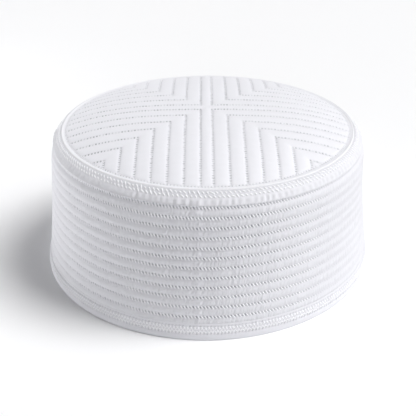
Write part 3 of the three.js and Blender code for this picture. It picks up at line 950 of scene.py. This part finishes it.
welt, column, side = flat_grid("rolled_welt", ROUND_COLUMNS, WELT_SIDES)
turn = FULL_TURN * side / WELT_SIDES
pinch = WELT_PINCH * np.sin(FULL_TURN * column / WELT_PINCH_SPACING)
pinch *= np.sin(FULL_TURN * column / ROUND_COLUMNS * WELT_PINCH_GROUPS)
radius = WELT_RADIUS + WELT_HALF_WIDTH * np.cos(turn)
height = WELT_HEIGHT + WELT_HALF_HEIGHT * np.sin(turn) * (1.0 + pinch)
move_points(welt, rolled_up(radius, angle_round(column, ROUND_COLUMNS), height))
# the roll's underside is painted in shade
mark_points(welt, "crease", smooth_step(*WELT_SHADE_RISE, np.sin(turn)))
stretch_weave(welt, FULL_TURN * WELT_RADIUS, WELT_STRIP_WIDTH)
close_seams(welt)
bpy.ops.object.shade_smooth()
# the welt's white is drawn brighter than the band's, as painted light on its upturned roll
finish_piece(welt, woven_cotton("rolled_cotton", "#f1f1f5", "#c6c6cb"))
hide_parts("rim_welt")

# Hem
# A cotton tape is folded over the band's lower edge, inside and out, pressed flat below so that
# the cap stands on it, and sewn through near its upper edge and again lower down.
HEM_PROUD = 0.3
HEM_UPPER_TUCK = 0.25  # its upper edge is drawn in against the band
HEM_UPPER_RISE = (7.5, 9.4)
HEM_ROWS = ((8.0, 0.25), (3.9, 0.2))  # height and depth of each sewn row
HEM_ROW_HALF_WIDTH = 0.55
HEM_SHADE_UNDER_STITCH = 0.25  # of a sewn row's painted shade that shows under a stitch
HEM_STREAK = 0.05  # the tape's face is a little uneven, less so near the floor
HEM_STREAK_RISE = (1.5, 3.5)
HEM_OUTER_DEPTH = 0.31  # what lies no deeper than this is the tape's outer face
HEM_TAPE_WIDTH = 40.0
HEM_SMOOTH_ANGLE = math.radians(70.0)

# height, depth in from the outer face, and steps to the next corner of the folded tape's section
HEM_CORNERS = (
    ("outer foot", 0.0, 0.7, 2),
    ("outer fold", 0.6, 0.3, 3),
    ("outer face", 2.4, 0.0, 13),
    ("outer upper edge", 9.0, 0.0, 2),
    ("outer upper turn", 9.4, 0.1, 1),
    ("outer inside edge", 9.35, 0.22, 2),
    ("outer full thickness", 8.3, 1.0, 4),
    ("slot floor outside", 1.0, 1.0, 2),
    ("slot floor inside", 1.0, 3.2, 4),
    ("inner inside edge", 9.2, 3.2, 2),
    ("inner upper turn", 9.4, 3.75, 2),
    ("inner upper edge", 9.0, 4.2, 8),
    ("inner fold", 0.6, 4.2, 2),
    ("inner foot", 0.0, 3.6, 3),
)
hem_section = []
for (_, *corner, steps), (_, *next_corner, _) in zip(HEM_CORNERS, HEM_CORNERS[1:] + HEM_CORNERS[:1]):
    share = np.arange(steps)[:, None] / steps
    hem_section.append(np.array(corner) + np.subtract(next_corner, corner) * share)
hem_height, hem_depth = np.concatenate(hem_section).T

hem, column, row = flat_grid("folded_hem", ROUND_COLUMNS, len(hem_height))
row = np.mod(row, len(hem_height))
angle = angle_round(column, ROUND_COLUMNS)
height = hem_height[row]
outside = hem_depth[row] < HEM_OUTER_DEPTH
drawn_in, shade = np.zeros((2, len(height)))
for row_height, row_depth in HEM_ROWS:
    near = fade(height - row_height, HEM_ROW_HALF_WIDTH)
    drawn_in += row_depth * near
    shade += near
streaks = np.random.RandomState(21).normal(0.0, HEM_STREAK, ROUND_COLUMNS)
streaks[0] = 0.0
streak = streaks[column % ROUND_COLUMNS] * smooth_step(*HEM_STREAK_RISE, height)
proud = HEM_PROUD - HEM_UPPER_TUCK * smooth_step(*HEM_UPPER_RISE, height)
radius = wall_radius(height) + proud - hem_depth[row] + sway(angle, height)
radius += np.where(outside, streak - drawn_in, 0.0)
move_points(hem, rolled_up(radius, angle, height))
# the sewn rows are painted in shade, fully in the needle holes between stitches
sewn_row_shade = shade * np.where(column % 2 == 0, 1.0, HEM_SHADE_UNDER_STITCH)
mark_points(hem, "crease", np.where(outside, sewn_row_shade, 0.0))
stretch_weave(hem, BAND_LENGTH, HEM_TAPE_WIDTH)
close_seams(hem)
bpy.ops.object.shade_smooth_by_angle(angle=HEM_SMOOTH_ANGLE)
finish_piece(hem, woven_cotton("cotton_tape", "#e8e8ed", "#c8c8ce"))
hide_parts("hem")

# Hem stitching
# White thread again: two rows of fine crossed stitches along the tape, between a row of needle
# holes near its upper edge and one lower down that holds the inner fold.
HEM_THREAD_LEVEL = HEM_PROUD - 0.06  # the thread is pressed a little into the tape
# each line of slanting stitches: height, lean in degrees, and start as a share of a stitch
HEM_LINES = ((6.9, 125.0, 0.5), (6.7, 55.0, 0.25), (5.0, 125.0, 0.25), (4.8, 55.0, 0.5))
hem_stitch = single_stitch("hem_stitch", length=2.6, width=0.5, thickness=0.36, bow=0.1, sides=5)
hem_lines = [
    dict(measure=measure_at(line_height), level=HEM_THREAD_LEVEL, lean=math.radians(lean), seed=81 + line,
         start=start, unsteadiness=0.12)
    for line, (line_height, lean, start) in enumerate(HEM_LINES)
]
hem_thread = sew_rows("hem_thread", hem_stitch, hem_lines)

# Floor, light and camera
# A wide white table, two large soft lamps on the right and a weak one behind, pale panels on the
# left and in front, and the view of someone who stands in front and looks down at the cap.
bpy.ops.mesh.primitive_plane_add(size=40.0, location=(0.0, 0.0, 0.0))
floor = bpy.context.object
floor.name = "floor"
paper = bpy.data.materials.new("white_paper")
paper.use_nodes = True
paper.node_tree.nodes["Principled BSDF"].inputs["Base Color"].default_value = linear("#fcfcfd")
paper.node_tree.nodes["Principled BSDF"].inputs["Roughness"].default_value = 0.9
floor.data.materials.append(paper)

# each lamp: name, degrees round from the right side, degrees up, spread in degrees and strength
LAMPS = (
    ("high_right_lamp", 2.0, 60.0, 30.0, 2.25),
    ("low_right_lamp", -14.0, 42.0, 36.0, 0.93),
    ("back_lamp", 50.0, 45.0, 40.0, 0.25),
    ("left_panel", 160.0, 3.0, 30.0, 1.7),
    ("front_panel", -90.0, 4.0, 30.0, 0.74),
)
for name, azimuth, elevation, spread, strength in LAMPS:
    bpy.ops.object.light_add(type="SUN")
    lamp = bpy.context.object
    lamp.name = name
    lamp.data.energy = strength
    lamp.data.angle = math.radians(spread)
    lamp.rotation_euler = (0.0, math.radians(90.0 - elevation), math.radians(azimuth))

# a white card stands low on the left, so that it brightens the band and leaves the crown alone
CARD_AZIMUTH = math.radians(160.0)
CARD_DISTANCE = 0.45
CARD_MIDDLE_HEIGHT = 0.031
card_x = CARD_DISTANCE * math.cos(CARD_AZIMUTH)
card_y = CARD_DISTANCE * math.sin(CARD_AZIMUTH)
bpy.ops.object.light_add(type="AREA", location=(card_x, card_y, CARD_MIDDLE_HEIGHT))
card = bpy.context.object
card.name = "left_card"
card.data.shape = "RECTANGLE"
card.data.size = 0.058
card.data.size_y = 0.35
card.data.energy = 0.5
card.rotation_euler = (0.0, math.radians(90.0), CARD_AZIMUTH)
card.visible_camera = False

world = bpy.data.worlds.new("pale_room")
world.use_nodes = True
world.node_tree.nodes["Background"].inputs["Color"].default_value = linear("#fafbff")
world.node_tree.nodes["Background"].inputs["Strength"].default_value = 0.06
bpy.context.scene.world = world
bpy.context.scene.view_settings.view_transform = "Standard"

CAMERA_LOOKS_DOWN = math.radians(28.241)
bpy.ops.object.camera_add(location=(0.0002, -0.43852, 0.26093))
camera = bpy.context.object
camera.name = "photo_camera"
camera.rotation_euler = (math.radians(90.0) - CAMERA_LOOKS_DOWN, 0.0, 0.0)
camera.data.sensor_width = 36.0
camera.data.lens = 72.745
bpy.context.scene.camera = camera
